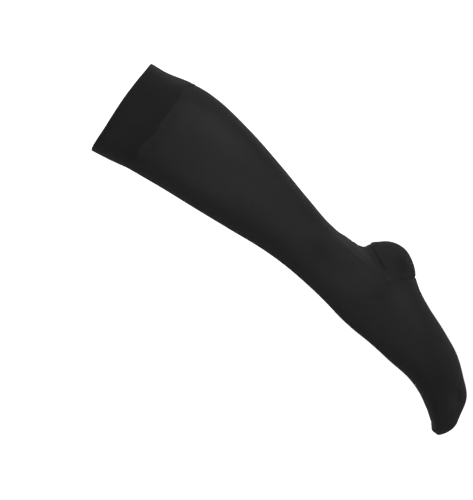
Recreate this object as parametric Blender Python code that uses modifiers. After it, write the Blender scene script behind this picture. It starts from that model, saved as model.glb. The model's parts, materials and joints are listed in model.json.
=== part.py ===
"""Knee-high compression stocking with a closed toe, filled out as on a bent leg whose foot points down.

Metres, +Z up. The origin is the middle of the top opening, where the wearer's leg holds it. The leg runs
down towards +X. The shin faces -X and down, the sole faces +X. -Y is the outer side of a left leg and +Y
its inner side. The sizes below are millimetres and degrees.
"""

import math
from collections import namedtuple

import bmesh
import bpy
import numpy as np
from mathutils import Matrix, Vector

MM = 0.001

LEG_SLOPE = 36.7  # the leg's axis falls by this towards +X
FOOT_SLOPE = 66.0  # and the foot's by this
BAND_DEPTH = 50.0  # along the leg, rim to lower edge
TOE_START = 138.0  # along the foot, from the heel gores to the toe cap
SEAM_GAP = 0.3  # between neighbouring pieces

LEG_WALL = 1.1
REINFORCED_WALL = 1.5  # heel pocket and toe cap
BAND_WALL = 2.0  # the band is knitted double and turned at the rim
BAND_PROUD = 0.45  # how far the band stands out from the leg
REINFORCED_PROUD = 0.2
RIM_ROUNDING = 0.7

RING_POINTS = 40
LEG_STEP = 18.0  # between the rings of a mesh, from the band to the ankle
ANKLE_START = 285.0  # along the leg; from here the rings are closer
FOOT_STEP = 11.0
EDGE_COURSE = 1.4  # the first and last ring of a piece lie this close to the next one
HEEL_COURSES = 9
HEEL_TIP = 0.02  # the pocket stops short of each gore by this share of a quarter turn
TOE_COURSES = 8

# A course is one ring of the knit, square to the axis but for its lean, and read like a row of a hosiery
# size chart. along: from the start of the axis. off: the ring's middle, off the axis towards the back.
# lean_front, lean_back: how far the front and the back half tip up towards the knee. front, back: the
# ring's reach from its middle. half_width, centre: half its width and the middle of that, towards +Y.
# front_full, back_full: 0 is an ellipse, more is squarer, less is more pointed.
Course = namedtuple(
    "Course", "name along off lean_front lean_back front back half_width centre front_full back_full"
)

LEG_COURSES = (
    #      name          along  off   lean        reach       width       fullness
    Course("rim", 0.0, 0.0, -1.9, 1.9, 61.5, 61.3, 51.0, 0.0, 0.02, 0.02),
    Course("band", 20.0, 0.0, -1.6, 1.6, 58.0, 63.5, 51.6, 0.2, 0.02, 0.02),
    Course("band_foot", 50.0, 0.0, 5.0, -3.4, 53.8, 72.4, 53.5, 0.6, 0.01, 0.02),
    Course("calf", 88.0, 0.0, -0.7, 0.7, 48.5, 74.2, 55.0, 1.0, -0.02, 0.03),
    Course("calf_low", 135.0, 0.0, 0.0, 0.0, 44.3, 68.3, 53.0, 1.5, -0.04, 0.02),
    Course("shin", 187.0, 0.0, 0.8, -0.8, 39.3, 57.3, 46.5, 1.2, -0.05, 0.0),
    Course("shin_low", 234.0, 0.0, 2.3, 0.0, 34.9, 45.9, 39.3, 0.8, -0.05, -0.04),
    Course("ankle", 281.0, 0.0, 3.8, 2.7, 35.2, 36.0, 33.3, 0.4, -0.02, -0.10),
    Course("ankle_low", 302.0, 2.9, 4.5, 19.6, 39.9, 33.9, 31.6, 0.4, 0.0, -0.16),
    Course("tendon", 322.0, 7.0, 5.3, 36.9, 46.2, 35.0, 31.6, 0.6, 0.02, -0.20),
    Course("ankle_bones", 341.0, 13.4, 6.3, 53.0, 55.4, 36.6, 33.2, 0.8, 0.02, -0.20),
    Course("notch", 356.0, 20.0, 7.2, 61.2, 64.4, 37.5, 33.3, 0.5, 0.01, -0.14),
    Course("gores", 369.5, 26.3, 8.3, 66.2, 72.5, 45.6, 33.0, 0.2, 0.0, -0.06),
)

FOOT_COURSES = (
    Course("gores", 0.0, 0.0, -21.0, -22.8, 72.5, 31.7, 33.0, 0.2, 0.0, 0.04),
    Course("instep", 23.4, 0.0, -15.0, -10.0, 63.6, 28.5, 32.6, 0.0, -0.04, 0.08),
    Course("arch", 52.7, 0.0, -8.0, -2.0, 51.7, 30.0, 34.4, 0.0, -0.06, 0.10),
    Course("waist", 87.8, 0.0, -2.0, 1.0, 38.4, 34.9, 39.4, 0.0, -0.03, 0.12),
    Course("ball", 117.0, 0.0, 0.0, 0.0, 25.9, 36.8, 43.8, 0.0, 0.02, 0.14),
    Course("toe_joint", 138.0, -3.5, 2.0, -4.0, 18.0, 36.9, 44.4, 0.6, 0.05, 0.14),
    Course("toe_box", 159.0, -11.1, 4.0, -10.0, 11.2, 38.5, 41.8, 2.6, 0.08, 0.12),
    Course("toe_end", 175.0, -17.0, 4.0, -13.0, 6.2, 28.6, 34.5, 4.4, 0.08, 0.10),
    Course("tip", 193.0, -20.2, 4.0, -14.0, 0.0, 0.0, 0.0, 6.0, 0.08, 0.08),
)

# The heel pocket turns about the gores, from the upper seam (share 0) to the lower one (share 1).
HeelCourse = namedtuple("HeelCourse", "share back back_full")

HEEL_POCKET = (
    HeelCourse(0.0, 46.0, -0.06),
    HeelCourse(0.12, 43.9, -0.02),
    HeelCourse(0.33, 41.7, 0.04),
    HeelCourse(0.5, 39.0, 0.06),
    HeelCourse(0.72, 34.3, 0.06),
    HeelCourse(1.0, 31.9, 0.04),
)

Knit = namedtuple("Knit", "name colour roughness")
BAND_KNIT = Knit("band knit", (0.011, 0.012, 0.014, 1.0), 0.92)
LEG_KNIT = Knit("leg knit", (0.018, 0.019, 0.022, 1.0), 0.88)
REINFORCED_KNIT = Knit("reinforced knit", (0.020, 0.021, 0.024, 1.0), 0.90)


def clear_scene():
    for obj in list(bpy.data.objects):
        bpy.data.objects.remove(obj, do_unlink=True)


def axis_of(slope):
    """Unit vectors along an axis that falls by this slope, and square to it on its back side."""
    tilt = math.radians(slope)
    along = Vector((math.cos(tilt), 0.0, -math.sin(tilt)))
    back = Vector((math.sin(tilt), 0.0, math.cos(tilt)))
    return along, back


def smooth_value(places, values, place):
    """A value at one place on a smooth curve through the values at all of them."""
    places = np.asarray(places, float)
    values = np.asarray(values, float)
    slopes = np.gradient(values, places)
    i = int(np.clip(np.searchsorted(places, place, side="right") - 1, 0, len(places) - 2))
    step = places[i + 1] - places[i]
    s = (place - places[i]) / step
    return float(
        (2 * s**3 - 3 * s**2 + 1) * values[i]
        + (s**3 - 2 * s**2 + s) * step * slopes[i]
        + (3 * s**2 - 2 * s**3) * values[i + 1]
        + (s**3 - s**2) * step * slopes[i + 1]
    )


def course_at(table, along):
    """The course at a place between the rows. Reaches and widths are squared first, so that a tip is round."""
    places = [row.along for row in table]
    found = {"name": "between", "along": along}
    for column in Course._fields[2:]:
        values = [getattr(row, column) for row in table]
        if column in ("front", "back", "half_width"):
            squared = smooth_value(places, np.square(values), along)
            found[column] = math.sqrt(max(squared, 0.0))
        else:
            found[column] = smooth_value(places, values, along)
    return Course(**found)


def directions(course, slope):
    """Unit vectors from the middle of a course to its front and to its back."""
    along, back = axis_of(slope)
    front_lean = math.radians(course.lean_front)
    back_lean = math.radians(course.lean_back)
    to_front = -back * math.cos(front_lean) - along * math.sin(front_lean)
    to_back = back * math.cos(back_lean) - along * math.sin(back_lean)
    return to_front, to_back


def middle_of(course, slope, start):
    along, back = axis_of(slope)
    return start + along * course.along + back * course.off


def half_ring(middle, direction, reach, course, full, proud, turns):
    """Points of one half of a course; turn 0 is its far end, and a quarter turn is the side of the leg."""
    points = []
    for turn in turns:
        out = (reach + proud) * math.cos(turn) * (1 + full * math.sin(turn) ** 2)
        across = (course.half_width + proud) * math.sin(turn) * (1 + full * math.cos(turn) ** 2)
        points.append(middle + direction * out + Vector((0.0, course.centre + across, 0.0)))
    return points


def ring(course, slope, start, proud=0.0):
    """A whole course: from the front, round the +Y side, the back and the -Y side."""
    middle = middle_of(course, slope, start)
    to_front, to_back = directions(course, slope)
    quarter = RING_POINTS // 4
    step = math.pi / (2 * quarter)
    front_turns = [step * i for i in range(-quarter, quarter)]
    back_turns = [step * i for i in range(quarter, -quarter, -1)]
    front = half_ring(middle, to_front, course.front, course, course.front_full, proud, front_turns)
    back = half_ring(middle, to_back, course.back, course, course.back_full, proud, back_turns)
    return front + back


def evenly(first, last, step):
    return list(np.linspace(first, last, 1 + max(1, round((last - first) / step))))


def with_edges(places):
    """Adds the ring just inside each end of a piece, which keeps its wall square to the neighbour's."""
    first, *middle, last = places
    return [first, first + EDGE_COURSE, *middle, last - EDGE_COURSE, last]


def tube_rings(table, slope, start, places, proud=0.0):
    return [ring(course_at(table, place), slope, start, proud) for place in places]


def toe_rings():
    """Courses of the toe cap, closer together as they round over to the tip."""
    first = TOE_START + SEAM_GAP / 2
    tip = FOOT_COURSES[-1].along
    places = [first, first + EDGE_COURSE]
    for i in range(1, TOE_COURSES):
        places.append(first + (tip - first) * math.sin(math.pi / 2 * i / TOE_COURSES))
    return tube_rings(FOOT_COURSES, FOOT_SLOPE, gore_point(), places, REINFORCED_PROUD)


def gore_point():
    """The point on the mid-plane where leg, heel and foot meet, in line with the gores on both sides."""
    return middle_of(LEG_COURSES[-1], LEG_SLOPE, Vector((0.0, 0.0, 0.0)))


def heel_rings():
    """Half rings that turn about the gores, each from the +Y gore round the heel to the -Y gore."""
    gores = FOOT_COURSES[0]
    upper = directions(LEG_COURSES[-1], LEG_SLOPE)[1]
    lower = directions(gores, FOOT_SLOPE)[1]
    wedge = upper.angle(lower)
    halfway = (upper + lower).normalized()
    shift = halfway * (SEAM_GAP / math.sin(wedge / 2))  # keeps both edges parallel to their seams
    middle = gore_point() + shift
    shares = [row.share for row in HEEL_POCKET]
    edge = EDGE_COURSE / (HEEL_POCKET[0].back * wedge)
    places = [0.0, edge, *np.linspace(0, 1, HEEL_COURSES)[1:-1], 1 - edge, 1.0]
    tip = math.pi / 2 * (1 - HEEL_TIP)
    turns = np.linspace(tip, -tip, RING_POINTS // 2 - 1)
    rings = []
    for share in places:
        direction = Matrix.Rotation(wedge * share, 3, "Y") @ upper
        reach = smooth_value(shares, [row.back for row in HEEL_POCKET], share) - shift.dot(direction)
        full = smooth_value(shares, [row.back_full for row in HEEL_POCKET], share)
        rings.append(half_ring(middle, direction, reach, gores, full, REINFORCED_PROUD, turns))
    return rings


def knit_material(knit):
    material = bpy.data.materials.get(knit.name) or bpy.data.materials.new(knit.name)
    material.use_nodes = True
    shader = material.node_tree.nodes["Principled BSDF"]
    shader.inputs["Base Color"].default_value = knit.colour
    shader.inputs["Roughness"].default_value = knit.roughness
    shader.inputs["Metallic"].default_value = 0.0
    material.diffuse_color = knit.colour
    return material


def lofted_surface(name, rings, closed, tip=None):
    """An open surface through rings of equal count. A closed ring joins up, and a tip point ends the last one."""
    surface = bmesh.new()
    rows = [[surface.verts.new(point * MM) for point in points] for points in rings]
    spans = len(rows[0]) if closed else len(rows[0]) - 1
    for upper, lower in zip(rows, rows[1:]):
        for i in range(spans):
            j = (i + 1) % len(upper)
            surface.faces.new((upper[i], upper[j], lower[j], lower[i]))
    if tip is not None:
        end = surface.verts.new(tip * MM)
        for i in range(spans):
            surface.faces.new((rows[-1][i], rows[-1][(i + 1) % len(rows[-1])], end))
    mesh = bpy.data.meshes.new(name)
    surface.to_mesh(mesh)
    surface.free()
    return mesh


def add_piece(name, mesh, wall, knit, holder, collection):
    """A knitted piece: the surface is its outer face, and Solidify makes the wall inside it."""
    mesh.materials.append(knit_material(knit))
    mesh.shade_smooth()
    mesh.set_sharp_from_angle(angle=math.radians(50))
    piece = bpy.data.objects.new(name, mesh)
    collection.objects.link(piece)
    piece.parent = holder
    solidify = piece.modifiers.new("Wall", "SOLIDIFY")
    solidify.thickness = wall * MM
    solidify.offset = -1.0
    solidify.use_quality_normals = True
    return piece


def add_band(holder, collection):
    places = with_edges(evenly(0.0, BAND_DEPTH - SEAM_GAP / 2, LEG_STEP))
    rings = tube_rings(LEG_COURSES, LEG_SLOPE, Vector(), places, BAND_PROUD)
    mesh = lofted_surface("top_band", rings, True)
    band = add_piece("top_band", mesh, BAND_WALL, BAND_KNIT, holder, collection)
    rounding = band.modifiers.new("Turned edges", "BEVEL")
    rounding.width = RIM_ROUNDING * MM
    rounding.segments = 2
    rounding.limit_method = "ANGLE"
    rounding.angle_limit = math.radians(60)
    rounding.loop_slide = False


def add_leg(holder, collection):
    upper = evenly(BAND_DEPTH + SEAM_GAP / 2, ANKLE_START, LEG_STEP)
    lower = evenly(ANKLE_START, LEG_COURSES[-1].along - SEAM_GAP / 2, FOOT_STEP)
    rings = tube_rings(LEG_COURSES, LEG_SLOPE, Vector(), with_edges(upper + lower[1:]))
    add_piece("leg", lofted_surface("leg", rings, True), LEG_WALL, LEG_KNIT, holder, collection)


def add_heel(holder, collection):
    mesh = lofted_surface("heel_pocket", heel_rings(), False)
    add_piece("heel_pocket", mesh, REINFORCED_WALL, REINFORCED_KNIT, holder, collection)


def add_foot(holder, collection):
    places = with_edges(evenly(SEAM_GAP / 2, TOE_START - SEAM_GAP / 2, FOOT_STEP))
    rings = tube_rings(FOOT_COURSES, FOOT_SLOPE, gore_point(), places)
    add_piece("foot", lofted_surface("foot", rings, True), LEG_WALL, LEG_KNIT, holder, collection)


def add_toe(holder, collection):
    last = FOOT_COURSES[-1]
    tip = middle_of(last, FOOT_SLOPE, gore_point()) + Vector((0.0, last.centre, 0.0))
    mesh = lofted_surface("toe_cap", toe_rings(), True, tip)
    add_piece("toe_cap", mesh, REINFORCED_WALL, REINFORCED_KNIT, holder, collection)


def main():
    clear_scene()
    collection = bpy.data.collections.new("compression stocking")
    bpy.context.scene.collection.children.link(collection)
    holder = bpy.data.objects.new("top_opening", None)
    collection.objects.link(holder)
    add_band(holder, collection)
    add_leg(holder, collection)
    add_heel(holder, collection)
    add_foot(holder, collection)
    add_toe(holder, collection)


main()
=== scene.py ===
import json
import math

import bmesh
import bpy
import numpy as np
from mathutils import Matrix, Vector

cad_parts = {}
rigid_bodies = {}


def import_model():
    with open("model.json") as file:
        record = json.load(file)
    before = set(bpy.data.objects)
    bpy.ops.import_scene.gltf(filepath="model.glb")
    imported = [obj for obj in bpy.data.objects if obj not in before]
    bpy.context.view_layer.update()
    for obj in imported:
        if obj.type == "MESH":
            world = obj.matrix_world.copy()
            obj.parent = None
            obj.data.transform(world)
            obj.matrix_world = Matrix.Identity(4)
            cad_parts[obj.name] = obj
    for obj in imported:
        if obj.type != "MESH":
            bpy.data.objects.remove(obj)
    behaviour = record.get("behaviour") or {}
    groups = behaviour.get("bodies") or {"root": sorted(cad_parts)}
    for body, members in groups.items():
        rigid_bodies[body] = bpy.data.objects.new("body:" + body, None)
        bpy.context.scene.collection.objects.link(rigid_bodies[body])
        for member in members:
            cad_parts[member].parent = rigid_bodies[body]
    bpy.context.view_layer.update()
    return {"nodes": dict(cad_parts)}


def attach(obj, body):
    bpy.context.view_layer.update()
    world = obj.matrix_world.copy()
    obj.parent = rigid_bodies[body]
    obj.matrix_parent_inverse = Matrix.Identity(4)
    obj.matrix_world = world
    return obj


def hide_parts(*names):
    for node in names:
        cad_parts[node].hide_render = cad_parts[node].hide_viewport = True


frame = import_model()
print("frame loaded:", ", ".join(sorted(frame["nodes"])))

mm = 0.001  # the dictionaries below are in mm and degrees, the scene is in metres

# The form that the knit is stretched over, one row for a course, from the knee down.
# off: the course's middle, off the axis towards the back. lean: how far its front and its back half
# tip up towards the knee. front, back: reach from the middle. centre: the middle of the width,
# towards +Y. full: 0 is an ellipse, more is squarer, less is more pointed.
courseColumns = ("along", "off", "leanFront", "leanBack", "front", "back",
                 "halfWidth", "centre", "frontFull", "backFull")

legForm = {
    "slope": 36.7,  # the axis falls by this towards +X
    "courses": (
        (0.0, 0.0, -1.9, 1.9, 61.5, 61.3, 51.0, 0.0, 0.02, 0.02),  # rim
        (20.0, 0.0, -1.6, 1.6, 58.0, 63.5, 51.6, 0.2, 0.02, 0.02),
        (50.0, 0.0, 5.0, -3.4, 53.8, 72.4, 53.5, 0.6, 0.01, 0.02),  # the band ends here, aslant
        (88.0, 0.0, -0.7, 0.7, 48.5, 74.2, 55.0, 1.0, -0.02, 0.03),  # widest, round the calf
        (135.0, 0.0, 0.0, 0.0, 44.3, 68.3, 53.0, 1.5, -0.04, 0.02),
        (187.0, 0.0, 0.8, -0.8, 39.3, 57.3, 46.5, 1.2, -0.05, 0.0),
        (234.0, 0.0, 2.3, 0.0, 34.9, 45.9, 39.3, 0.8, -0.05, -0.04),
        (281.0, 0.0, 3.8, 2.7, 35.2, 36.0, 33.3, 0.4, -0.02, -0.10),  # narrowest, above the ankle
        (302.0, 2.9, 4.5, 19.6, 39.9, 33.9, 31.6, 0.4, 0.0, -0.16),
        (322.0, 7.0, 5.3, 36.9, 46.2, 35.0, 31.6, 0.6, 0.02, -0.20),
        (341.0, 13.4, 6.3, 53.0, 55.4, 36.6, 33.2, 0.8, 0.02, -0.20),
        (356.0, 20.0, 7.2, 61.2, 64.4, 37.5, 33.3, 0.5, 0.01, -0.14),
        (369.5, 26.3, 8.3, 66.2, 72.5, 45.6, 33.0, 0.2, 0.0, -0.06),  # the heel gores
    ),
}

footForm = {
    "slope": 66.0,
    "courses": (
        (0.0, 0.0, -21.0, -22.8, 72.5, 31.7, 33.0, 0.2, 0.0, 0.04),  # the heel gores
        (23.4, 0.0, -15.0, -10.0, 63.6, 28.5, 32.6, 0.0, -0.04, 0.08),
        (52.7, 0.0, -8.0, -2.0, 51.7, 30.0, 34.4, 0.0, -0.06, 0.10),  # arch
        (87.8, 0.0, -2.0, 1.0, 38.4, 34.9, 39.4, 0.0, -0.03, 0.12),
        (117.0, 0.0, 0.0, 0.0, 25.9, 36.8, 43.8, 0.0, 0.02, 0.14),  # ball
        (138.0, -3.5, 2.0, -4.0, 18.0, 36.9, 44.4, 0.6, 0.05, 0.14),  # the toe cap starts here
        (159.0, -11.1, 4.0, -10.0, 9.8, 38.5, 41.8, 2.6, 0.08, 0.12),
        (175.0, -17.0, 4.0, -13.0, 5.2, 29.4, 34.5, 4.4, 0.08, 0.10),
        (187.0, -19.4, 4.0, -14.0, 4.6, 19.4, 23.5, 5.4, 0.08, 0.08),
        (193.0, -20.2, 4.0, -14.0, 0.0, 0.0, 0.0, 6.0, 0.08, 0.08),  # tip
    ),
}

# The pocket turns about the gores, from its upper seam (share 0) to its lower one (share 1).
heelForm = {
    "shares": (0.0, 0.12, 0.33, 0.5, 0.72, 1.0),
    "back": (45.6, 43.9, 41.7, 39.0, 34.3, 31.7),
    "backFull": (-0.06, -0.02, 0.04, 0.06, 0.06, 0.04),
}

# Mesh of the fabric. The stitches are finer, and come with the yarn.
weave = {
    "columns": 200,
    "samples": 48,  # of a quarter of a course, to space its wales by
    "bandFoot": 50.0,  # where leg and band meet
    "legStart": 37.0,  # the leg goes on a little under the band
    "ankleStart": 288.0,  # rows are closer from here down
    "gores": 369.5,  # the foot goes on from here, and the heel pocket sits between
    "toeStart": 507.5,
    "legRow": 3.0,
    "ankleRow": 1.5,
    "footRow": 1.9,
    "heelRow": 1.4,
    "heelRim": 66.0,
    "toeRows": 64,
    "fine": 0.5,  # rows beside a seam
    "growth": 1.35,
    "leastGirth": 6.0,  # of the toe's last rows, for how often their wales are halved
    "merge": 0.02,  # points closer than this are one
}


def smoothValue(places, values, place):
    # A value between the rows of a table, on a curve that runs smoothly through them.
    places, values = np.asarray(places, float), np.asarray(values, float)
    slopes = np.gradient(values, places)
    i = int(np.clip(np.searchsorted(places, place, side="right") - 1, 0, len(places) - 2))
    step = places[i + 1] - places[i]
    s = (place - places[i]) / step
    ends = (2 * s**3 - 3 * s**2 + 1) * values[i] + (3 * s**2 - 2 * s**3) * values[i + 1]
    return ends + ((s**3 - 2 * s**2 + s) * slopes[i] + (s**3 - s**2) * slopes[i + 1]) * step


def courseAt(form, along):
    table = dict(zip(courseColumns, zip(*form["courses"])))
    course = {"along": along}
    for column in courseColumns[1:]:
        if column in ("front", "back", "halfWidth"):  # squared, so that the tip is round
            squared = smoothValue(table["along"], np.square(table[column]), along)
            course[column] = math.sqrt(max(squared, 0))
        else:
            course[column] = smoothValue(table["along"], table[column], along)
    return course


def axisOf(slope):
    # The way along the leg or foot, and the way to its back.
    tilt = math.radians(slope)
    return np.array((math.cos(tilt), 0, -math.sin(tilt))), np.array((math.sin(tilt), 0, math.cos(tilt)))


def middleOf(form, course):
    along, back = axisOf(form["slope"])
    start = gorePoint() if form is footForm else np.zeros(3)
    return start + along * course["along"] + back * course["off"]


def gorePoint():
    return middleOf(legForm, courseAt(legForm, weave["gores"]))


def directionsOf(form, course):
    along, back = axisOf(form["slope"])
    front, rear = math.radians(course["leanFront"]), math.radians(course["leanBack"])
    toFront = -back * math.cos(front) - along * math.sin(front)
    toBack = back * math.cos(rear) - along * math.sin(rear)
    return toFront, toBack


def halfCourse(middle, direction, reach, halfWidth, centre, full, turns, proud=0.0):
    turns = np.asarray(turns, float)
    out = (reach + proud) * np.cos(turns) * (1 + full * np.sin(turns) ** 2)
    across = (halfWidth + proud) * np.sin(turns) * (1 + full * np.cos(turns) ** 2)
    return middle + np.outer(out, direction) + np.outer(centre + across, (0, 1, 0))


def evenTurns(reach, halfWidth, full, count):
    # Turns from one side over the far end to the other, so that the wales stand evenly along
    # each quarter.
    least = 0.01  # the tip's row has its turns too
    samples = np.linspace(0, math.pi / 2, weave["samples"])
    quarter = halfCourse(np.zeros(3), (1, 0, 0), max(reach, least), max(halfWidth, least), 0,
                         full, samples)
    length = np.concatenate(((0,), np.cumsum(np.linalg.norm(np.diff(quarter, axis=0), axis=1))))
    turns = np.interp(np.linspace(0, length[-1], count + 1), length, samples)
    return np.concatenate((-turns[:0:-1], turns))


def formAt(height):
    # Heights run on from the leg into the foot, past the gores.
    if height <= weave["gores"]:
        return legForm, courseAt(legForm, height)
    return footForm, courseAt(footForm, height - weave["gores"])


def wholeCourse(height, proud=0.0, form=None):
    # From the front over the +Y side, the back and the -Y side to the front again.
    form, course = (form, courseAt(form, height - weave["gores"])) if form else formAt(height)
    toFront, toBack = directionsOf(form, course)
    middle, quarter = middleOf(form, course), weave["columns"] // 4
    width, centre = course["halfWidth"], course["centre"]
    frontTurns = evenTurns(course["front"], width, course["frontFull"], quarter)
    backTurns = evenTurns(course["back"], width, course["backFull"], quarter)[::-1]
    front = halfCourse(middle, toFront, course["front"], width, centre,
                       course["frontFull"], frontTurns, proud)
    back = halfCourse(middle, toBack, course["back"], width, centre,
                      course["backFull"], backTurns, proud)
    return np.concatenate((front[quarter:], back[1:], front[1:quarter + 1]))


def heelDirections():
    # Where the pocket's upper and its lower seam point to at mid heel.
    upper = directionsOf(legForm, courseAt(legForm, weave["gores"]))[1]
    return upper, directionsOf(footForm, courseAt(footForm, 0.0))[1]


def heelPlaces(share, turns):
    # Points of the pocket at one share of its turn about the gores, and how far they are from mid heel.
    gores = courseAt(footForm, 0.0)
    upper, lower = heelDirections()
    wedge = math.acos(float(upper @ lower))
    direction = upper * math.sin(wedge * (1 - share)) + lower * math.sin(wedge * share)
    direction = direction / math.sin(wedge)
    reach = smoothValue(heelForm["shares"], heelForm["back"], share)
    full = smoothValue(heelForm["shares"], heelForm["backFull"], share)
    if turns is None:
        turns = evenTurns(reach, gores["halfWidth"], full, weave["columns"] // 4)[::-1]
    points = halfCourse(gorePoint(), direction, reach, gores["halfWidth"], gores["centre"],
                        full, turns)
    return points, wedge * (share - 0.5) * reach * np.cos(turns)


def pointOn(height, turn):
    # turn: 0 is the front, 90 the +Y side, 180 the back, 270 the -Y side
    form, course = formAt(height)
    toFront, toBack = directionsOf(form, course)
    fromFront = math.radians((turn + 180) % 360 - 180)
    if abs(fromFront) <= math.pi / 2:
        direction, reach, full, turned = toFront, course["front"], course["frontFull"], fromFront
    else:
        direction, reach, full = toBack, course["back"], course["backFull"]
        turned = math.copysign(math.pi, fromFront) - fromFront
    return halfCourse(middleOf(form, course), direction, reach, course["halfWidth"],
                      course["centre"], full, [turned])[0]


def gradedPlaces(first, last, coarse, fineFirst=True, fineLast=True):
    # Places from first to last, close together at the ends that are fine.
    steps, step = [], weave["fine"]
    while step < coarse:
        steps.append(step)
        step *= weave["growth"]
    edge = list(np.cumsum(steps))
    low = [first + place for place in [0.0] + edge[:-1]] if fineFirst else []
    high = [last - place for place in edge[-2::-1] + [0.0]] if fineLast else []
    start, end = first + edge[-1] * fineFirst, last - edge[-1] * fineLast
    return low + list(np.linspace(start, end, 2 + int((end - start) / coarse))) + high


regions = ("leg", "heel", "toe")


def knitPatch(body, region, courses, heights, decreases=None):
    # A flat grid of the fabric, laid on the form: courses are rows of points, heights their
    # place in the knit. decreases: how often a row's wales have been halved, as where a toe narrows.
    rows, columns = len(courses) - 1, len(courses[0]) - 1
    grid = bmesh.ops.create_grid(body, x_segments=rows, y_segments=columns, size=0.5, calc_uvs=True)
    uvMap = body.loops.layers.uv.active
    aside = weave["columns"] // 4 if region == "heel" else 0
    for face in {face for vert in grid["verts"] for face in vert.link_faces}:
        halved = decreases[int((face.calc_center_median().x + 0.5) * rows)] if decreases else 0
        for loop in face.loops:
            row = round((loop.vert.co.x + 0.5) * rows)
            column = round((loop.vert.co.y + 0.5) * columns)
            height = heights[row][column] if np.ndim(heights[row]) else heights[row]
            loop[uvMap].uv = ((column + aside) / weave["columns"] / 2**halved, height)
        face.material_index = regions.index(region)
        face.smooth = True
    for vert in grid["verts"]:
        row = round((vert.co.x + 0.5) * rows)
        column = round((vert.co.y + 0.5) * columns)
        vert.co = Vector(courses[row][column]) * mm


def makeBody():
    body = bmesh.new()
    body.loops.layers.uv.new("knit")
    gores, toeStart = weave["gores"], weave["toeStart"]
    tip = gores + footForm["courses"][-1][0]
    legRows = gradedPlaces(weave["legStart"], weave["ankleStart"], weave["legRow"], fineLast=False)
    legRows += gradedPlaces(weave["ankleStart"], gores, weave["ankleRow"], fineFirst=False)[1:]
    footRows = gradedPlaces(gores, toeStart, weave["footRow"])
    heelRows = [row / weave["heelRim"] for row in gradedPlaces(0.0, weave["heelRim"], weave["heelRow"])]
    turns = np.linspace(0, math.pi / 2, weave["toeRows"] + 1)
    toeRows = [toeStart + (tip - toeStart) * math.sin(turn) for turn in turns]
    knitPatch(body, "leg", [wholeCourse(row) for row in legRows], legRows)
    knitPatch(body, "leg", [wholeCourse(row, form=footForm) for row in footRows], footRows)
    toeCourses = [wholeCourse(row) for row in toeRows]
    girths = [np.linalg.norm(np.diff(course, axis=0), axis=1).sum() for course in toeCourses]
    halvings = [int(math.log2(girths[0] / max(girth, weave["leastGirth"]))) for girth in girths[1:]]
    knitPatch(body, "toe", toeCourses, toeRows, halvings)
    heel = [heelPlaces(row, None) for row in heelRows]
    knitPatch(body, "heel", [points for points, _ in heel], [height for _, height in heel])
    bmesh.ops.remove_doubles(body, verts=body.verts, dist=weave["merge"] * mm)
    bmesh.ops.recalc_face_normals(body, faces=body.faces)
    return body


# Where the fabric is drawn along by what it is knitted to: a soft pull at one place.
# along: towards the toe, or if less than 0 towards the knee.
tugColumns = ("height", "turn", "radius", "along")

bodyTugs = (
    (372.0, 249.0, 7.0, -3.8),  # the upper heel seam is drawn up here
    (371.5, 251.0, 6.0, 2.8),
    (371.0, 232.0, 6.0, 0.6),
    (369.5, 186.0, 11.0, 2.0),
    (370.0, 118.0, 8.0, -1.9),  # and the same on the inner side
    (370.5, 141.0, 7.5, 1.1),
    (369.8, 266.0, 4.0, -0.8),
    (369.8, 95.0, 4.5, -1.0),
    (374.0, 256.0, 7.0, 4.2),  # the lower one sags towards the gore
    (372.8, 239.0, 7.5, 2.3),
    (373.5, 107.0, 7.0, 3.2),
)

# Soft troughs and ridges. on: the tube, or the heel pocket, where share stands for height.
# path: (height, turn) along it. width: half of it, across. depth: how deep at its deepest,
# less than 0 for a ridge. peak: where that is, from 0 to 1 of the path.
creaseColumns = ("on", "path", "width", "depth", "peak")
creaseShape = {
    "reach": 3,  # how many widths off it still counts
    "atEnds": 0.12,  # what is left of it there
    "shoulder": 0.6,  # how much the fabric rises on both sides of a trough
}

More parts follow.
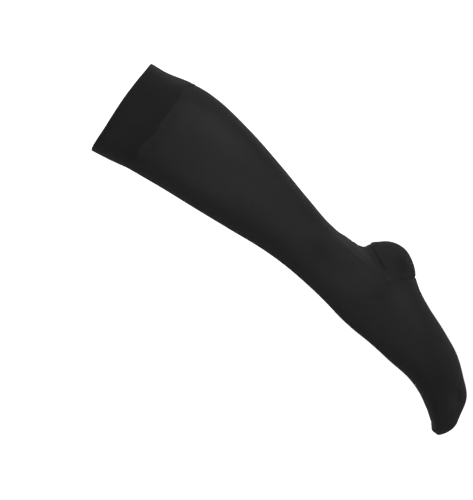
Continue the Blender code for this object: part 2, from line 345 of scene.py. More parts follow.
bodyCreases = (
    # outer side: the fold that runs down beside the tendon to the gore, with a hollow behind it
    ("tube", ((298, 212), (308, 218), (320, 224), (331, 230),
              (339, 236), (345, 244), (349, 253), (354, 260)), 4.0, -1.15, 0.5),
    ("tube", ((349, 193), (354, 206), (357, 218), (360, 235), (362, 248)), 4.2, 0.8, 0.5),
    ("tube", ((306, 181), (322, 180), (338, 179), (352, 180)), 7.0, -0.8, 0.5),
    ("tube", ((331, 239), (339, 246), (346, 256), (352, 266)), 2.8, 0.55, 0.6),
    ("tube", ((328, 268), (338, 272), (347, 276), (358, 281)), 7.5, -0.95, 0.6),
    ("tube", ((372, 273), (379, 280), (381, 288), (373, 297), (360, 301)), 4.2, 0.9, 0.4),
    # inner side: the same, but another length and depth
    ("tube", ((308, 168), (318, 158), (330, 147),
              (340, 134), (347, 121), (353, 110)), 3.3, -0.65, 0.45),
    ("tube", ((344, 172), (351, 160), (356, 142), (359, 124), (361, 112)), 4.6, 0.55, 0.4),
    ("tube", ((327, 138), (336, 127), (345, 115), (352, 103)), 2.4, 0.5, 0.6),
    ("tube", ((326, 93), (339, 88), (352, 81)), 8.0, -0.8, 0.5),
    ("tube", ((371, 86), (377, 79), (378, 70), (369, 62)), 4.2, 0.65, 0.4),
    # the upper heel seam's rise, and ripples across the back above it
    ("heel", ((0.05, 150), (0.05, 180), (0.05, 210)), 6.5, -1.6, 0.5),
    ("tube", ((351, 171), (349, 182), (351, 196), (354, 206)), 1.9, 0.5, 0.4),
    ("tube", ((341, 166), (339, 178), (341, 189)), 2.2, 0.4, 0.6),
    ("tube", ((360, 160), (358, 174), (359, 183)), 1.7, 0.35, 0.5),
    # round the bend of the ankle
    ("tube", ((339, 294), (352, 293), (362, 293)), 3.6, 0.3, 0.6),
    ("tube", ((336, 62), (350, 66), (361, 69)), 3.8, 0.35, 0.5),
    ("tube", ((362, 333), (371, 340), (378, 350), (381, 363)), 4.4, 0.3, 0.5),
    # puckers at the gores
    ("tube", ((367.2, 270), (369.3, 270)), 1.8, -1.0, 0.6),
    ("tube", ((371.5, 273), (374.5, 275)), 1.9, 0.8, 0.4),
    ("tube", ((367, 90), (369.2, 90)), 1.7, -0.8, 0.6),
    ("tube", ((371.5, 87), (375, 84)), 2.2, 0.7, 0.4),
    # below the heel and on the arch
    ("tube", ((390, 280), (388, 268), (386, 254)), 4.2, -0.5, 0.5),
    ("tube", ((389, 268), (400, 262), (417, 264)), 6.5, -0.55, 0.3),
    ("tube", ((390, 84), (391, 96), (393, 110)), 5.0, -0.5, 0.4),
    ("tube", ((398, 246), (408, 240), (420, 236), (431, 228)), 6.0, 0.45, 0.4),
    ("tube", ((400, 114), (411, 120), (425, 127)), 6.5, 0.5, 0.5),
    # the pocket is slack towards its lower seam
    ("heel", ((0.90, 208), (0.93, 224), (0.90, 240)), 7.5, 1.3, 0.45),
    ("heel", ((0.15, 222), (0.33, 236), (0.52, 247)), 5.0, -0.45, 0.5),
    ("heel", ((0.10, 250), (0.22, 256), (0.42, 254)), 1.3, 0.5, 0.4),
    ("heel", ((0.86, 124), (0.92, 140), (0.90, 156)), 6.5, 1.0, 0.5),
    ("heel", ((0.30, 128), (0.46, 118), (0.60, 112)), 5.5, -0.4, 0.5),
    ("heel", ((0.62, 186), (0.66, 176), (0.63, 164)), 4.0, 0.35, 0.5),
    # where the toes bend, outer side
    ("tube", ((513.0, 247), (514.5, 242), (516, 237),
              (519, 229), (521.5, 218), (522.5, 206)), 1.7, 1.2, 0.3),
    ("tube", ((518.5, 229), (523, 227), (527, 231)), 2.7, 1.5, 0.5),
    ("tube", ((520, 256), (526, 252), (532, 243), (537, 236)), 5.0, -0.8, 0.4),
    ("tube", ((508, 214), (512, 206), (515, 197)), 2.6, 0.4, 0.5),
    # and inner side
    ("tube", ((512.5, 112), (515, 119), (518, 128), (520, 139)), 1.9, 0.8, 0.4),
    ("tube", ((523, 126), (529, 131)), 3.0, 0.8, 0.5),
    ("tube", ((516, 98), (524, 103), (533, 112)), 5.5, -0.6, 0.5),
    # the toe's blunt end
    ("tube", ((553, 285), (554, 315), (554.5, 345),
              (554, 375), (553, 405), (551, 430)), 4.0, -1.5, 0.35),
    # caught in the knit under the band
    ("tube", ((56, 264.5), (58.5, 260.5)), 0.9, -0.3, 0.5),
    ("tube", ((62, 231), (65.5, 238)), 0.9, -0.32, 0.5),
    ("tube", ((58, 212), (60, 207)), 0.9, -0.25, 0.5),
    ("tube", ((57, 96), (59, 101)), 0.9, -0.25, 0.5),
    ("tube", ((61, 143), (64, 139)), 0.9, -0.3, 0.5),
)

# Painted light and shade: patches that make the knit's colour paler where they paint a highlight, and
# darker where they paint shade.
paintedLightColumns = ("on", "height", "turn", "reachAlong", "reachAround", "paler")

paintedLightPlaces = (
    ("tube", 104, 233, 38, 15, 0.24),
    ("tube", 148, 262, 34, 8, 0.07),
    ("tube", 55.5, 263, 2.6, 1.1, 0.25),
    ("tube", 60, 235, 4.5, 1.2, 0.16),
    ("tube", 187, 256, 30, 9, 0.05),
    ("tube", 98, 138, 34, 14, 0.14),
    ("tube", 316, 200, 22, 12, 0.40),
    ("tube", 339, 199, 12, 10, 0.15),
    ("tube", 354, 218, 12, 10, 0.26),
    ("tube", 330, 166, 18, 10, 0.18),
    ("tube", 349, 276, 18, 17, 0.20),
    ("tube", 342, 88, 16, 13, 0.14),
    ("tube", 378, 287, 8, 8, -0.09),
    ("tube", 400, 264, 20, 13, 0.26),
    ("tube", 428, 258, 14, 10, 0.08),
    ("tube", 392, 98, 14, 11, 0.10),
    ("tube", 368.5, 270, 2.6, 2.6, 0.45),
    ("tube", 373, 274, 2.2, 3.0, -0.16),
    ("tube", 368.5, 90, 2.4, 2.6, 0.35),
    ("tube", 52, 228, 6, 12, -0.12),
    ("tube", 56, 246, 6.5, 12, -0.13),
    ("tube", 58, 264, 7, 12, -0.13),
    ("tube", 59, 284, 7, 12, -0.12),
    ("tube", 68, 220, 14, 10, -0.10),
    ("tube", 90, 266, 34, 14, -0.08),
    ("tube", 152, 280, 24, 8, 0.10),
    ("tube", 286, 264, 16, 13, -0.17),
    ("tube", 334, 292, 28, 12, 0.12),
    ("tube", 135, 297, 40, 12, 0.22),
    ("tube", 170, 212, 56, 9, -0.19),
    ("tube", 254, 219, 32, 9, -0.22),
    ("tube", 488, 262, 34, 10, -0.16),
    ("heel", 0.64, 233, 13, 11, -0.24),
    ("heel", 0.50, 196, 13, 11, -0.20),
    ("heel", 0.55, 130, 9, 10, -0.15),
    ("heel", 0.22, 205, 14, 14, -0.07),
    ("tube", 478, 318, 26, 18, -0.10),
    ("tube", 521, 310, 28, 22, -0.15),
    ("tube", 528, 243, 10, 9, 0.22),
    ("tube", 523, 229, 5, 3.4, -0.34),
    ("tube", 530, 120, 12, 10, 0.10),
)

# The seams beside the heel pocket: a narrow groove, a low roll on both sides, and the pocket
# a little proud. They fade out towards the gores, where the knit runs on.
heelSeam = {
    "groove": 0.5,
    "grooveWidth": 0.85,
    "roll": 0.4,
    "rollAway": 2.5,
    "rollWidth": 1.1,
    "rollOnHeel": 0.35,  # lower on the pocket's side
    "proud": 0.22,
    "proudEdge": 2.2,  # how far in the pocket has risen
    "upper": 1.0,
    "lower": 0.65,
    "fadeStart": 8.0,  # from the gore
    "fadeEnd": 14.5,
    "atGore": 0.1,
    "reach": 14.0,  # how far off a seam still counts
    "shadeWidth": 1.3,  # of the painted shade along the seam
}

# The toe is linked shut: a low ridge with the fabric drawn in beside it, and a row of stitches on it.
toeSeam = {
    "path": ((547.0, 300), (549.0, 320), (550.0, 340), (550.4, 0),
             (550.0, 20), (549.0, 40), (547.0, 60)),
    "height": 0.32,
    "width": 0.9,
    "drawnIn": 0.4,  # of the height
    "drawnAway": 1.9,
    "drawnWidth": 0.8,
    "runOut": 12,  # it has its height from a 12th of its length on
    "stitch": {
        "length": 1.15,
        "radius": 0.17,
        "apart": 1.05,
        "slant": 32.0,
        "proud": 0.3,  # of the radius
        "around": 8,
        "rings": 5,
    },
}


def pathPoints(path, on="tube", perStep=12):
    # The points of a path on the form, and how far along it each one is.
    turns = np.unwrap(np.radians([turn for _, turn in path]))
    heights, places = [height for height, _ in path], np.arange(len(path))
    shares = np.linspace(0, len(path) - 1, 1 + perStep * (len(path) - 1))
    points = []
    for share in shares:
        height, turn = smoothValue(places, heights, share), smoothValue(places, turns, share)
        points.append(pointOn(height, math.degrees(turn)) if on == "tube"
                      else heelPlaces(height, [math.pi - turn])[0][0])
    return np.array(points), shares / shares[-1]


def vertPlaces(body):
    body.verts.ensure_lookup_table()
    return np.array([vert.co for vert in body.verts]) / mm


def shiftVerts(body, shifts):
    for vert, shift in zip(body.verts, shifts):
        if shift.any():
            vert.co += Vector(shift) * mm
    body.normal_update()


def tug(body, tugs):
    shifts, places = np.zeros((len(body.verts), 3)), vertPlaces(body)
    for row in tugs:
        pull = dict(zip(tugColumns, row))
        spot = pointOn(pull["height"], pull["turn"])
        toToe = pointOn(pull["height"] + 1, pull["turn"]) - pointOn(pull["height"] - 1, pull["turn"])
        near = np.exp(-np.square(places - spot).sum(axis=1) / pull["radius"] ** 2)
        shifts += np.outer(near * pull["along"], toToe / np.linalg.norm(toToe))
    shiftVerts(body, shifts)


def awayFrom(places, points):
    # How far each place is from a line of points, and the nearest point's number.
    best, nearest = np.full(len(places), np.inf), np.zeros(len(places), int)
    for number, (start, end) in enumerate(zip(points[:-1], points[1:])):
        edge = end - start
        share = np.clip((places - start) @ edge / max(edge @ edge, 1e-9), 0, 1)
        away = np.linalg.norm(places - start - np.outer(share, edge), axis=1)
        closer = away < best
        best[closer], nearest[closer] = away[closer], number
    return best, nearest


def press(body, creases):
    body.normal_update()
    places, normals = vertPlaces(body), np.array([vert.normal for vert in body.verts])
    depths = np.zeros(len(places))
    for row in creases:
        crease = dict(zip(creaseColumns, row))
        points, shares = pathPoints(crease["path"], crease["on"])
        reach = creaseShape["reach"] * crease["width"]
        low, high = points.min(axis=0) - reach, points.max(axis=0) + reach
        near = np.all((places > low) & (places < high), axis=1)
        away, nearest = awayFrom(places[near], points)
        share, peak = shares[nearest], crease["peak"]
        strength = np.where(share < peak, share / peak, (1 - share) / (1 - peak))
        strength = np.sin(np.clip(creaseShape["atEnds"] + strength, 0, 1) * math.pi / 2)
        across = np.square(away / crease["width"])
        shape = (1 - creaseShape["shoulder"] * across) * np.exp(-across)
        depths[near] -= crease["depth"] * strength * shape
    shiftVerts(body, normals * depths[:, None])


def shapeHeelSeams(body):
    # The seams are where heel faces meet others. Their strength stays on the points, for the painted
    # shade along them.
    seamLayer = body.verts.layers.float.new("seam")
    heel = regions.index("heel")
    seams = [edge for edge in body.edges
             if len({face.material_index == heel for face in edge.link_faces}) == 2]
    places, normals = vertPlaces(body), np.array([vert.normal for vert in body.verts])
    away, strength = np.full(len(places), np.inf), np.zeros(len(places))
    upper, lower = heelDirections()
    gores = [pointOn(weave["gores"], turn) for turn in (90, 270)]
    for edge in seams:
        ends = np.array([vert.co for vert in edge.verts]) / mm
        centre = ends.mean(axis=0)
        fromGore = min(np.linalg.norm(centre - gore) for gore in gores)
        fade = (fromGore - heelSeam["fadeStart"]) / (heelSeam["fadeEnd"] - heelSeam["fadeStart"])
        fade = heelSeam["atGore"] + (1 - heelSeam["atGore"]) * float(np.clip(fade, 0, 1))
        isUpper = (centre - gorePoint()) @ upper > (centre - gorePoint()) @ lower
        near = np.flatnonzero(np.linalg.norm(places - ends[0], axis=1) < heelSeam["reach"])
        distance = awayFrom(places[near], ends)[0]
        closer = distance < away[near]
        away[near[closer]] = distance[closer]
        strength[near[closer]] = fade * heelSeam["upper" if isUpper else "lower"]
    onHeel = np.array([all(face.material_index == heel for face in vert.link_faces)
                       for vert in body.verts])
    risen = 1 - np.exp(-np.square(away / heelSeam["proudEdge"]))
    rise = np.where(onHeel, heelSeam["proud"] * risen, 0)
    roll = np.exp(-np.square((away - heelSeam["rollAway"]) / heelSeam["rollWidth"]))
    rise += np.where(onHeel, heelSeam["rollOnHeel"], 1) * heelSeam["roll"] * roll * strength
    rise -= heelSeam["groove"] * np.exp(-np.square(away / heelSeam["grooveWidth"])) * strength
    shiftVerts(body, normals * rise[:, None])
    # how strong the painted shade is along the seams
    for vert, distance, strong in zip(body.verts, away, strength):
        vert[seamLayer] = strong * math.exp(-(distance / heelSeam["shadeWidth"]) ** 2)


# Paints highlights and shade into a layer on the points: each patch lightens or darkens the colour round
# one spot.
def paintLightAndShade(body, patches):
    paintedLightLayer = body.verts.layers.float.new("paintedLight")
    places, paintedLight = vertPlaces(body), np.zeros(len(body.verts))
    for row in patches:
        patch = dict(zip(paintedLightColumns, row))
        step = 0.01 if patch["on"] == "heel" else 1  # a share of the pocket's turn, or 1 mm
        path = [(patch["height"] + way * step, patch["turn"]) for way in (-1, 0, 1)]
        start, spot, end = pathPoints(path, patch["on"], 1)[0]
        toToe = (end - start) / np.linalg.norm(end - start)
        along = (places - spot) @ toToe
        across = np.linalg.norm(places - spot - np.outer(along, toToe), axis=1)
        away = (along / patch["reachAlong"]) ** 2 + (across / patch["reachAround"]) ** 2
        paintedLight += patch["paler"] * np.exp(-away)
    for vert, value in zip(body.verts, paintedLight):
        vert[paintedLightLayer] = value


def shapeToeSeam(body):
    body.normal_update()
    places, normals = vertPlaces(body), np.array([vert.normal for vert in body.verts])
    points, shares = pathPoints(toeSeam["path"])
    away, nearest = awayFrom(places, points)
    height = np.clip(np.minimum(shares[nearest], 1 - shares[nearest]) * toeSeam["runOut"], 0, 1)
    height = height * toeSeam["height"]
    rise = height * np.exp(-np.square(away / toeSeam["width"]))
    beside = np.exp(-np.square((away - toeSeam["drawnAway"]) / toeSeam["drawnWidth"]))
    rise -= toeSeam["drawnIn"] * height * beside
    shiftVerts(body, normals * rise[:, None])


def meshOf(name, work):
    mesh = bpy.data.meshes.new(name)
    work.to_mesh(mesh)
    work.free()
    return mesh


def regionMesh(body, region, name):
    part = body.copy()
    others = [face for face in part.faces if face.material_index != regions.index(region)]
    bmesh.ops.delete(part, geom=others, context="FACES")
    for face in part.faces:
        face.material_index = 0
    for edge in part.edges:
        edge.smooth = not edge.is_boundary  # or the wall's rim would darken the seam
    return meshOf(name, part)


def addPiece(name, mesh, material, wall=None):
    mesh.materials.clear()
    mesh.materials.append(material)
    piece = bpy.data.objects.new(name, mesh)
    bpy.context.scene.collection.objects.link(piece)
    if wall:
        solidify = piece.modifiers.new("wall", "SOLIDIFY")
        solidify.thickness = wall * mm
        solidify.offset = -1
        solidify.use_quality_normals = True
    return piece


# Yarn and stitch. wales: stitches around. course: from one row to the next. relief: how high they
# stand. slant: how steep the legs of a stitch are. rib: how much every second wale sinks back.
# inlay: how far the elastic shows between the rows. gap: how dark it is between the stitches.
# mottle: how uneven its tone is.
legYarn = {
    "colour": (0.0093, 0.0093, 0.0094), "wales": 400, "course": 0.46, "relief": 0.13, "slant": 1.2,
    "rib": 0.0, "inlay": 0.22, "gap": 0.45, "mottle": 0.10, "roughness": 0.86, "specular": 0.008,
    "sheen": 0.02, "sheenRoughness": 0.22, "sheenTint": (0.92, 0.92, 0.93),
}
reinforcedYarn = {
    "colour": (0.0098, 0.0098, 0.0099), "wales": 400, "course": 0.40, "relief": 0.16, "slant": 0.9,
    "rib": 0.0, "inlay": 0.05, "gap": 0.5, "mottle": 0.12, "roughness": 0.9, "specular": 0.007,
    "sheen": 0.017, "sheenRoughness": 0.25, "sheenTint": (0.92, 0.92, 0.93),
}
bandYarn = {
    "colour": (0.0068, 0.0068, 0.0069), "wales": 360, "course": 0.52, "relief": 0.14, "slant": 1.0,
    "rib": 0.55, "inlay": 0.12, "gap": 0.5, "mottle": 0.10, "roughness": 0.92, "specular": 0.008,
    "sheen": 0.028, "sheenRoughness": 0.42, "sheenTint": (0.92, 0.92, 0.93),
}
threadYarn = {
    "colour": (0.016, 0.0165, 0.018), "roughness": 0.8, "specular": 0.1,
    "twist": 900.0, "distortion": 2.0, "relief": 0.05,
}

# What all the knits share: the shape of a stitch, and an uneven stretch, in broad patches, in streaks
# along the wales, in bars along the courses, and from one stitch to the next.
loopShape = {"crown": 0.6, "bow": 0.26, "middle": 0.70}
unevenness = {
    "patchScale": 16.0, "patches": 2.2,
    "streaksAround": 130.0, "streaksAlong": 0.035, "streaks": 1.6,
    "barsAround": 6.0, "barsAlong": 0.8, "bars": 0.8,
    "fleckScale": 260.0, "flecks": 0.9,
    "fleckRelief": 0.5, "fleckRoughness": 0.12, "yarnRoughness": 0.10,
}
# how much painted shade darkens the colour along the heel's seams
seamShade = 0.3


class NodeBench:
    # Adds nodes to a material, and links what they are given.
    def __init__(self, name):
        self.material = bpy.data.materials.new(name)
        self.material.use_nodes = True
        self.tree = self.material.node_tree
        self.shader = self.tree.nodes["Principled BSDF"]

    def give(self, socket, value):
        if isinstance(value, bpy.types.NodeSocket):
            self.tree.links.new(value, socket)
        else:
            socket.default_value = value

    def add(self, kind, inputs, output=0, **settings):
        node = self.tree.nodes.new(kind)
        for setting, value in settings.items():
            setattr(node, setting, value)
        for socket, value in inputs.items():
            self.give(node.inputs[socket], value)
        return node.outputs[output]

    def math(self, operation, *values, clamp=False):
        return self.add("ShaderNodeMath", dict(enumerate(values)), operation=operation, use_clamp=clamp)

    def stretched(self, around, timesAround, along, timesAlong):
        return self.add("ShaderNodeCombineXYZ", {0: self.math("MULTIPLY", around, timesAround),
                                                 1: self.math("MULTIPLY", along, timesAlong)})

    def scaled(self, colour, factor):
        return self.add("ShaderNodeVectorMath", {0: colour, "Scale": factor}, operation="SCALE")


def stitches(bench, around, along, yarn):
    # How high the yarn stands, from 0 to 1: two slanting legs for each stitch, in wales and courses.
    wale = bench.math("MULTIPLY", around, float(yarn["wales"]))
    course = bench.math("MULTIPLY", along, 1 / yarn["course"])
    inWale = bench.math("ABSOLUTE", bench.math("SUBTRACT", bench.math("FRACT", wale), 0.5))
    slanted = bench.math("MULTIPLY_ADD", inWale, yarn["slant"] * 2, course)
    rows = bench.math("COSINE", bench.math("MULTIPLY", slanted, 2 * math.pi))
    legs = bench.math("SINE", bench.math("MULTIPLY", inWale, 2 * math.pi))
    height = bench.math("MULTIPLY", bench.math("POWER", legs, loopShape["crown"]),
                        bench.math("MULTIPLY_ADD", rows, loopShape["bow"], loopShape["middle"]))
    everySecond = bench.math("COSINE", bench.math("MULTIPLY", wale, math.pi))
    sunk = bench.math("MULTIPLY_ADD", everySecond, yarn["rib"] / 2, 1 - yarn["rib"] / 2)
    height = bench.math("MULTIPLY", height, sunk)
    elastic = bench.math("COSINE", bench.math("MULTIPLY", course, math.pi))
    return bench.math("MULTIPLY_ADD", elastic, yarn["inlay"] / 4, height)


def noise(bench, place, scale, detail):
    return bench.add("ShaderNodeTexNoise", {"Vector": place, "Scale": scale, "Detail": detail}, "Fac")


def knitMaterial(name, yarn):
    bench = NodeBench(name)
    uv = bench.add("ShaderNodeUVMap", {}, uv_map="knit")
    parts = bench.tree.nodes.new("ShaderNodeSeparateXYZ")
    bench.give(parts.inputs[0], uv)
    around, along = parts.outputs["X"], parts.outputs["Y"]
    yarnHeight = stitches(bench, around, along, yarn)
    place = bench.add("ShaderNodeTexCoord", {}, "Object")
    # the fabric is stretched unevenly
    patches = noise(bench, place, unevenness["patchScale"], 3.0)
    flecks = noise(bench, place, unevenness["fleckScale"], 2.0)
    streaks = noise(bench, bench.stretched(around, unevenness["streaksAround"],
                                           along, unevenness["streaksAlong"]), 1.0, 2.0)
    bars = noise(bench, bench.stretched(around, unevenness["barsAround"],
                                        along, unevenness["barsAlong"]), 1.0, 1.0)
    broad = unevenness["patches"] * yarn["mottle"]
    tone = bench.math("MULTIPLY_ADD", patches, broad, 1 - broad / 2)
    for name, pattern in (("streaks", streaks), ("bars", bars), ("flecks", flecks)):
        centred = bench.math("SUBTRACT", pattern, 0.5)
        tone = bench.math("MULTIPLY_ADD", centred, unevenness[name] * yarn["mottle"], tone)
    # painted highlights and shade, from the points' layer, lighten and darken the colour
    paintedLight = bench.add("ShaderNodeAttribute", {}, "Fac", attribute_name="paintedLight")
    tone = bench.math("ADD", tone, paintedLight)
    # darker between the stitches, and painted shade down in the heel's seams
    depth = bench.math("MULTIPLY_ADD", yarnHeight, yarn["gap"], 1 - 0.6 * yarn["gap"])
    seam = bench.add("ShaderNodeAttribute", {}, "Fac", attribute_name="seam")
    # painted shade along the heel's seams
    depth = bench.math("MULTIPLY", depth, bench.math("MULTIPLY_ADD", seam, -seamShade, 1.0))
    colour = bench.scaled(yarn["colour"], bench.math("MULTIPLY", tone, depth))
    bench.give(bench.shader.inputs["Base Color"], colour)
    onYarn, onFlecks = unevenness["yarnRoughness"], unevenness["fleckRoughness"]
    rough = bench.math("MULTIPLY_ADD", yarnHeight, -onYarn, yarn["roughness"] + onYarn / 2)
    rough = bench.math("MULTIPLY_ADD", flecks, onFlecks,
                       bench.math("SUBTRACT", rough, onFlecks / 2), clamp=True)
    bench.give(bench.shader.inputs["Roughness"], rough)
    # fine bump: the stitches, and a little unevenness from one to the next
    uneven = bench.math("MULTIPLY_ADD", flecks, unevenness["fleckRelief"], yarnHeight)
    bump = bench.add("ShaderNodeBump", {"Height": uneven, "Strength": 1.0,
                                        "Distance": yarn["relief"] * mm}, "Normal")
    bench.give(bench.shader.inputs["Normal"], bump)
    bench.shader.inputs["Specular IOR Level"].default_value = yarn["specular"]
    bench.shader.inputs["Sheen Weight"].default_value = yarn["sheen"]
    bench.shader.inputs["Sheen Roughness"].default_value = yarn["sheenRoughness"]
    bench.shader.inputs["Sheen Tint"].default_value = (*yarn["sheenTint"], 1)
    return bench.material


def threadMaterial(name, yarn):
    bench = NodeBench(name)
    place = bench.add("ShaderNodeTexCoord", {}, "Object")
    twist = bench.add("ShaderNodeTexWave", {"Vector": place, "Scale": yarn["twist"],
                                            "Distortion": yarn["distortion"]}, "Fac",
                      bands_direction="DIAGONAL")
    bench.give(bench.shader.inputs["Base Color"],
               bench.scaled(yarn["colour"], bench.math("MULTIPLY_ADD", twist, 0.5, 0.75)))
    bench.give(bench.shader.inputs["Roughness"],
               bench.math("MULTIPLY_ADD", twist, -0.1, yarn["roughness"]))
    bench.give(bench.shader.inputs["Normal"],
               bench.add("ShaderNodeBump", {"Height": twist, "Distance": yarn["relief"] * mm}, "Normal"))
    bench.shader.inputs["Specular IOR Level"].default_value = yarn["specular"]
    return bench.material


# The band is knitted double and turned at the rim, so it is one closed roll of fabric.
band = {
    "proud": 0.45,  # its outer face, off the leg's
    "wall": 2.0,
    "outerRow": 2.0,
    "innerRow": 3.4,
    "foldSteps": 8,
    "footDepth": 0.6,  # how far its lower edge is rounded
    "fullness": 0.3,  # it stands out a little between its edges
    "dimple": 0.35,  # and is drawn in where its two layers are joined
    "dimpleAt": 3.2,
    "dimpleWidth": 1.3,
}

bandTugs = (
    # its lower edge
    (50.0, 211.0, 14.0, -6.6),
    (50.0, 236.0, 13.0, -1.9),
    (50.0, 273.0, 12.0, 2.4),
    (50.0, 320.0, 16.0, 4.5),
    (50.0, 149.0, 15.0, -4.8),
    (50.0, 109.0, 13.0, 1.9),
    (50.0, 64.0, 18.0, 3.2),
    (50.0, 24.0, 14.0, -1.7),
    # its rim
    (0.0, 262.0, 20.0, -0.5),
    (0.0, 300.0, 15.0, 0.4),
    (0.0, 215.0, 17.0, 0.45),
    (0.0, 173.0, 21.0, -0.35),
    (0.0, 118.0, 18.0, 0.5),
    (0.0, 62.0, 22.0, -0.45),
    (0.0, 18.0, 16.0, 0.35),
    (0.0, 337.0, 14.0, -0.3),
)

bandCreases = (
    ("tube", ((30, 246), (36, 243), (44, 244)), 4.5, 0.35, 0.6),
    ("tube", ((8, 283), (18, 286), (27, 284)), 6.0, 0.3, 0.5),
    ("tube", ((6, 226), (15, 223), (26, 225)), 6.5, 0.35, 0.4),
    ("tube", ((33, 138), (41, 141), (48, 139)), 5.0, 0.4, 0.6),
    ("tube", ((5, 77), (17, 80), (30, 78)), 6.5, 0.35, 0.5),
    ("tube", ((12, 24), (24, 28), (38, 25)), 7.0, 0.3, 0.5),
    ("tube", ((10, 178), (22, 182), (37, 180)), 7.0, 0.35, 0.5),
)

# Painted highlights and shade on the band, in the same columns as on the body.
bandPaintedLight = (
    ("tube", 14, 198, 30, 14, 0.46),
    ("tube", 36, 205, 12, 9, 0.31),
    ("tube", 24, 244, 16, 14, -0.10),
    ("tube", 16, 305, 18, 12, 0.16),
    ("tube", 42, 252, 9, 30, -0.08),
    ("tube", 18, 334, 22, 20, 0.20),
    ("tube", 20, 158, 26, 15, 0.28),
    ("tube", 15, 48, 24, 18, 0.15),
)


def bandProfile():
    # Round the band's wall: (height, how proud), from its lower edge up the outside, and down the inside.
    foot, half, wall = weave["bandFoot"] - band["footDepth"], band["wall"] / 2, band["wall"]
    middle = band["proud"] - half
    profile = []
    for height in np.linspace(foot, half, 1 + int((foot - half) / band["outerRow"])):
        share = (foot - height) / (foot - half)
        fromDimple = (foot - height - band["dimpleAt"]) / band["dimpleWidth"]
        dimple = band["dimple"] * math.exp(-fromDimple ** 2)
        profile.append((height, band["proud"] + band["fullness"] * math.sin(math.pi * share) - dimple))
    for turn in np.linspace(0, math.pi, band["foldSteps"] + 1)[1:-1]:
        profile.append((half - half * math.sin(turn), middle + half * math.cos(turn)))
    for height in np.linspace(half, foot, 1 + int((foot - half) / band["innerRow"])):
        profile.append((height, band["proud"] - wall))
    for turn in np.linspace(0, math.pi, band["foldSteps"] + 1)[1:]:
        profile.append((foot + band["footDepth"] * math.sin(turn), middle - half * math.cos(turn)))
    return profile


def makeBand():
    roll = bmesh.new()
    roll.loops.layers.uv.new("knit")
    profile = bandProfile()
    steps = np.linalg.norm(np.diff(profile, axis=0), axis=1)
    knitPatch(roll, "leg", [wholeCourse(height, proud) for height, proud in profile],
              [0.0] + list(np.cumsum(steps)))
    bmesh.ops.remove_doubles(roll, verts=roll.verts, dist=weave["merge"] * mm)
    bmesh.ops.recalc_face_normals(roll, faces=roll.faces)
    tug(roll, bandTugs)
    press(roll, bandCreases)
    # painted highlights and shade
    paintLightAndShade(roll, bandPaintedLight)
    return roll


def addStitch(work, spot, normal, way, stitch):
    # One loop of thread lying on the fabric, slanted across the seam.
    loop = bmesh.ops.create_uvsphere(work, u_segments=stitch["around"], v_segments=stitch["rings"],
                                     radius=1.0)["verts"]
    thick, half = stitch["radius"] * mm, stitch["length"] / 2 * mm
    bmesh.ops.scale(work, vec=(thick, thick, half), verts=loop)
    side = normal.cross(way).normalized()
    lie = Matrix.Rotation(math.radians(stitch["slant"]), 3, normal) @ side
    frameOf = Matrix((normal.cross(lie).normalized(), normal, lie)).transposed()
    bmesh.ops.rotate(work, cent=(0, 0, 0), matrix=frameOf, verts=loop)
    bmesh.ops.translate(work, vec=spot, verts=loop)


def addStitches(name, points, stitch, surface):
    # Stitches along a line of points, set on the nearest points of a surface.
    work = bmesh.new()
    ground = vertPlaces(surface)
    length = np.concatenate(((0,), np.cumsum(np.linalg.norm(np.diff(points, axis=0), axis=1))))
    for place in np.arange(stitch["apart"] / 2, length[-1], stitch["apart"]):
        before, spot, after = [
            Vector([np.interp(place + step, length, points[:, axis]) for axis in range(3)]) * mm
            for step in (-0.2, 0, 0.2)]
        away = np.square(ground - np.array(spot) / mm).sum(axis=1)
        nearest = surface.verts[int(np.argmin(away))]
        lift = (nearest.co - spot).dot(nearest.normal) + stitch["proud"] * stitch["radius"] * mm
        way = (after - before).normalized()
        addStitch(work, spot + nearest.normal * lift, nearest.normal, way, stitch)
    for face in work.faces:
        face.smooth = True
    return meshOf(name, work)


walls = {"leg": 1.1, "heel": 1.5, "toe": 1.5}


def report(what, work):
    openEdges = sum(1 for edge in work.edges if edge.is_boundary)
    print(what, len(work.verts), "points,", openEdges, "open edges")


body = makeBody()
report("body:", body)
tug(body, bodyTugs)
press(body, bodyCreases)
shapeHeelSeams(body)
shapeToeSeam(body)
# painted highlights and shade on the leg, heel and toe
paintLightAndShade(body, paintedLightPlaces)
print("creases and seams pressed")

legKnit = addPiece("legKnit", regionMesh(body, "leg", "legKnit"),
                   knitMaterial("legKnit", legYarn), walls["leg"])
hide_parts("leg", "foot")
heelPocket = addPiece("heelPocket", regionMesh(body, "heel", "heelPocket"),
                      knitMaterial("heelKnit", reinforcedYarn), walls["heel"])
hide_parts("heel_pocket")
toeCap = addPiece("toeCap", regionMesh(body, "toe", "toeCap"),
                  knitMaterial("toeKnit", reinforcedYarn), walls["toe"])
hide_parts("toe_cap")
print("leg, heel pocket and toe cap made")

roll = makeBand()
report("band:", roll)
topBand = addPiece("topBand", meshOf("topBand", roll), knitMaterial("bandKnit", bandYarn))
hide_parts("top_band")

seamPoints = pathPoints(toeSeam["path"])[0]
toeStitches = addPiece("toeStitches", addStitches("toeStitches", seamPoints, toeSeam["stitch"], body),
                       threadMaterial("linkingThread", threadYarn))
body.free()
print("toe seam stitched")

for piece in (legKnit, heelPocket, toeCap, topBand, toeStitches):
    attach(piece, "root")

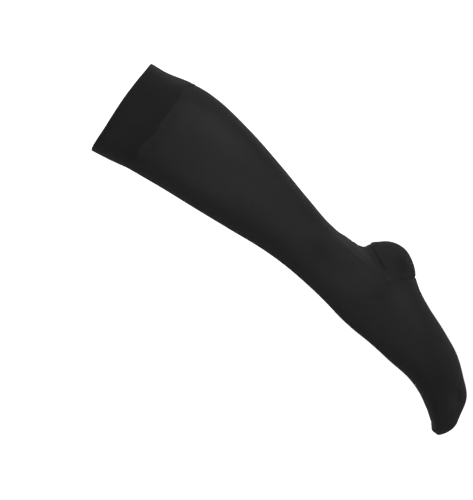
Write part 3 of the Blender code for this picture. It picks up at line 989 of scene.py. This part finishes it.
# The stage: a plain pale floor, a soft even sky, and soft round lights before, behind and above.
stage = {
    "floor": -455.0,
    "radius": 9000.0,
    "segments": 64,
    "floorColour": (0.78, 0.78, 0.78),
    "floorRoughness": 0.95,
    "sky": 1.33,
    "lights": {
        "key": {"place": (250.0, -1130.0, 560.0), "aim": (175.0, 0.0, -75.0),
                "size": 560.0, "spread": 38.0, "watts": 1.82},
        "fill": {"place": (300.0, 1500.0, 900.0), "aim": (150.0, 0.0, -150.0),
                 "size": 1400.0, "spread": 180.0, "watts": 9.0},
        "back": {"place": (-180.0, 1930.0, 330.0), "aim": (140.0, 0.0, -150.0),
                 "size": 500.0, "spread": 32.0, "watts": 0.85},
        "low": {"place": (-350.0, -900.0, -500.0), "aim": (20.0, 0.0, -60.0),
                "size": 300.0, "spread": 40.0, "watts": 0.24},
        "side": {"place": (1000.0, -450.0, -420.0), "aim": (395.0, 0.0, -330.0),
                 "size": 260.0, "spread": 34.0, "watts": 0.12},
        "top": {"place": (420.0, 420.0, 900.0), "aim": (285.0, 0.0, -205.0),
                "size": 160.0, "spread": 26.0, "watts": 0.25},
    },
}


def plainMaterial(name, colour, roughness):
    bench = NodeBench(name)
    bench.shader.inputs["Base Color"].default_value = (*colour, 1)
    bench.shader.inputs["Roughness"].default_value = roughness
    bench.shader.inputs["Specular IOR Level"].default_value = 0.0
    return bench.material


def addStage():
    disc = bmesh.new()
    bmesh.ops.create_circle(disc, cap_ends=True, segments=stage["segments"],
                            radius=stage["radius"] * mm)
    bmesh.ops.translate(disc, vec=(0, 0, stage["floor"] * mm), verts=disc.verts)
    floor = addPiece("floor", meshOf("floor", disc),
                     plainMaterial("paleFloor", stage["floorColour"], stage["floorRoughness"]))
    world = bpy.data.worlds.new("softStudio")
    bpy.context.scene.world = world
    world.use_nodes = True
    sky = world.node_tree.nodes["Background"]
    sky.inputs["Color"].default_value = (1, 1, 1, 1)
    sky.inputs["Strength"].default_value = stage["sky"]
    for name, lamp in stage["lights"].items():
        light = bpy.data.objects.new(name, bpy.data.lights.new(name, "AREA"))
        bpy.context.scene.collection.objects.link(light)
        light.data.shape = "DISK"
        light.data.size = lamp["size"] * mm
        light.data.spread = math.radians(lamp["spread"])
        light.data.energy = lamp["watts"]
        light.location = Vector(lamp["place"]) * mm
        toAim = Vector(lamp["aim"]) - light.location / mm
        light.rotation_euler = toAim.to_track_quat("-Z", "Y").to_euler()


view = {
    "camera": (134.6, -3000.0, -167.3),
    "pictureHeight": 585.0,  # what the picture takes in, at the stocking
    "sensor": 36.0,
}


def addCamera():
    camera = bpy.data.objects.new("camera", bpy.data.cameras.new("camera"))
    bpy.context.scene.collection.objects.link(camera)
    camera.location = Vector(view["camera"]) * mm
    camera.rotation_euler = (math.radians(90), 0, 0)
    camera.data.sensor_width = view["sensor"]
    camera.data.lens = view["sensor"] * -view["camera"][1] / view["pictureHeight"]
    bpy.context.scene.camera = camera


addStage()
addCamera()
bpy.context.scene.view_settings.view_transform = "Standard"
print("stage and camera set")
